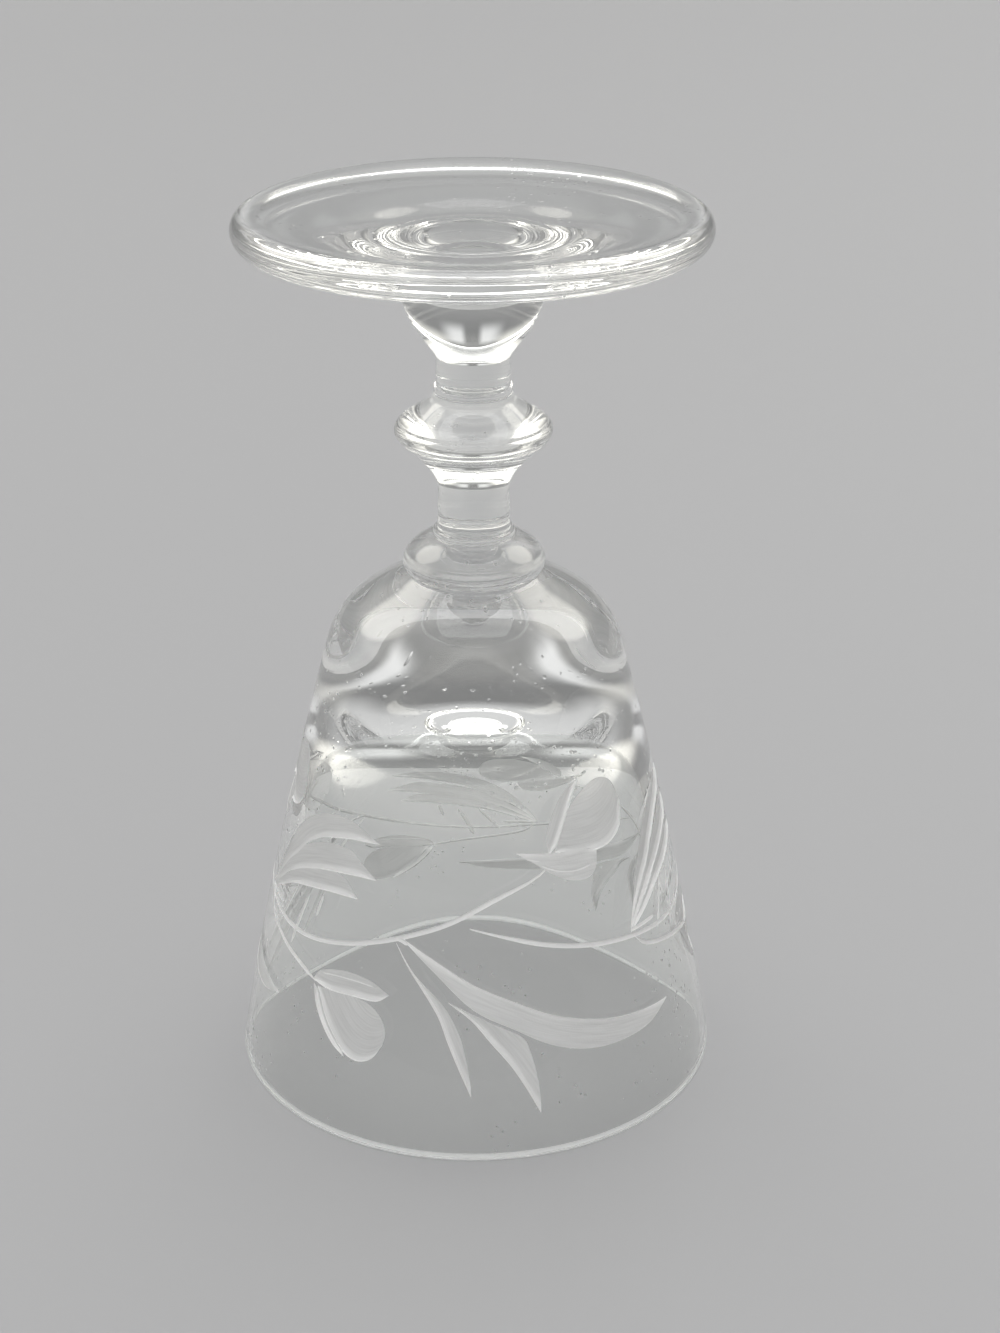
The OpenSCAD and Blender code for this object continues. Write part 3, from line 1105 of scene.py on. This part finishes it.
class GLASS_OT_stage(bpy.types.Operator):
    """Makes the floor, the soft lights, the surroundings and the camera"""

    bl_idname = "glass.stage"
    bl_label = "Stage"

    def execute(self, context):
        scene = context.scene
        stage = scene.stage_sizes
        self.make_floor(stage)
        self.make_world(scene)
        for name, settings in SOFT_LIGHTS.items():
            area_light(name, *settings)
        self.make_camera(scene, stage)
        scene.view_settings.view_transform = "Standard"
        scene.cycles.max_bounces = MOST_BOUNCES
        scene.cycles.glossy_bounces = MOST_BOUNCES
        scene.cycles.transmission_bounces = MOST_BOUNCES
        scene.cycles.transparent_max_bounces = MOST_CLEAR_BOUNCES
        return {"FINISHED"}

    @staticmethod
    def make_floor(stage):
        """Makes the plain pale floor."""
        bm = bmesh.new()
        bmesh.ops.create_grid(bm, x_segments=2, y_segments=2, size=stage.floor_size / 2)
        mesh = bpy.data.meshes.new("floor")
        bm.to_mesh(mesh)
        bm.free()
        floor = bpy.data.objects.new("floor", mesh)
        bpy.context.scene.collection.objects.link(floor)
        material, shader = new_material("pale_floor")
        mesh.materials.append(show(material, shader, {
            "Base Color": opaque(stage.floor_colour), "Roughness": FLOOR_ROUGHNESS}))

    @staticmethod
    def make_world(scene):
        """Makes the room that the glass shows: dim at eye level, light overhead, with lights."""
        world = bpy.data.worlds.new("surroundings")
        scene.world = world
        shader = Shader(world)
        direction = shader.add("ShaderNodeTexCoord")["Generated"]
        across, back, up = shader.add("ShaderNodeSeparateXYZ", None, {0: direction})
        room = shader.add("ShaderNodeValToRGB", {"stops": SKY_STOPS}, {0: up})[0]
        aside = across.maths("ABSOLUTE", across)
        windows = ease(shader, back, *WINDOWS_BACK)
        for limits in WINDOWS_UP:
            windows = windows * ease(shader, up, *limits)
        for limits in WINDOWS_ASIDE:
            windows = windows * ease(shader, aside, *limits)
        front = (ease(shader, along(shader, direction, FRONT_WAY), *FRONT_NEAR)
                 * ease(shader, up, *FRONT_UP))
        sides = ease(shader, aside, *SIDES_ASIDE) * ease(shader, up, *SIDES_UP)
        beside = shader.add("ShaderNodeCombineXYZ", None, {0: aside, 1: back, 2: up})[0]
        panes = ease(shader, along(shader, beside, PANES_WAY), *PANES_NEAR)
        path = shader.add("ShaderNodeLightPath")
        unseen = 1 - path["Is Camera Ray"]
        lamps = (front.maths("MAXIMUM", front, sides * SIDES_LEVEL) + panes * PANES_LEVEL) * unseen
        level = (shader.add("ShaderNodeRGBToBW", None, {0: room})[0] * SKY_STRENGTH
                 + windows * WINDOWS_LEVEL * unseen + path["Is Camera Ray"] * BACKDROP_LIFT)
        sky = shader.add("ShaderNodeCombineColor", None, {
            i: level + lamps * tint for i, tint in enumerate(LAMP_TINT)})[0]
        unlit = 1 - path["Diffuse Depth"]
        seen = (path["Is Camera Ray"] + path["Is Glossy Ray"] + path["Is Transmission Ray"]) * unlit
        tone = blend(shader, seen, grey(ROUND_LIGHT), sky)
        surface = shader.add("ShaderNodeBackground", None, {"Color": tone})[0]
        shader.add("ShaderNodeOutputWorld", None, {"Surface": surface})

    @staticmethod
    def make_camera(scene, stage):
        """Makes the camera that sees the glass as the photograph does."""
        eye = bpy.data.cameras.new("camera")
        eye.lens = EYE_LENS
        eye.clip_start = EYE_CLIP
        camera = bpy.data.objects.new("camera", eye)
        camera.location = (stage.eye_side, -stage.eye_back, stage.eye_height)
        camera.rotation_euler = (math.pi / 2 - stage.eye_pitch, 0, 0)
        scene.collection.objects.link(camera)
        scene.camera = camera


class GLASS_PT_sidebar(bpy.types.Panel):
    """Lists the steps that build the glass"""

    bl_idname = "GLASS_PT_sidebar"
    bl_label = "Cordial Glass"
    bl_space_type = "VIEW_3D"
    bl_region_type = "UI"
    bl_category = "Glass"

    def draw(self, context):
        for operator in OPERATORS:
            self.layout.operator(operator.bl_idname)


GROUPS = {
    "glass_sizes": GlassSizes,
    "cut_sizes": CutSizes,
    "stage_sizes": StageSizes,
    "glass_colours": GlassColours,
}
OPERATORS = (GLASS_OT_bowl, GLASS_OT_stem, GLASS_OT_foot, GLASS_OT_stage)


def register():
    """Registers the classes and hangs the property groups on the scene."""
    for cls in (*GROUPS.values(), *OPERATORS, GLASS_PT_sidebar):
        bpy.utils.register_class(cls)
    for name, group in GROUPS.items():
        setattr(bpy.types.Scene, name, bpy.props.PointerProperty(type=group))


def unregister():
    """Takes the property groups and classes away again."""
    for name in GROUPS:
        delattr(bpy.types.Scene, name)
    for cls in reversed((*GROUPS.values(), *OPERATORS, GLASS_PT_sidebar)):
        bpy.utils.unregister_class(cls)


def main():
    """Builds the glass and its stage."""
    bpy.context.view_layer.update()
    register()
    bpy.ops.glass.bowl()
    bpy.ops.glass.stem()
    bpy.ops.glass.foot()
    bpy.ops.glass.stage()


if __name__ == "__main__":
    main()
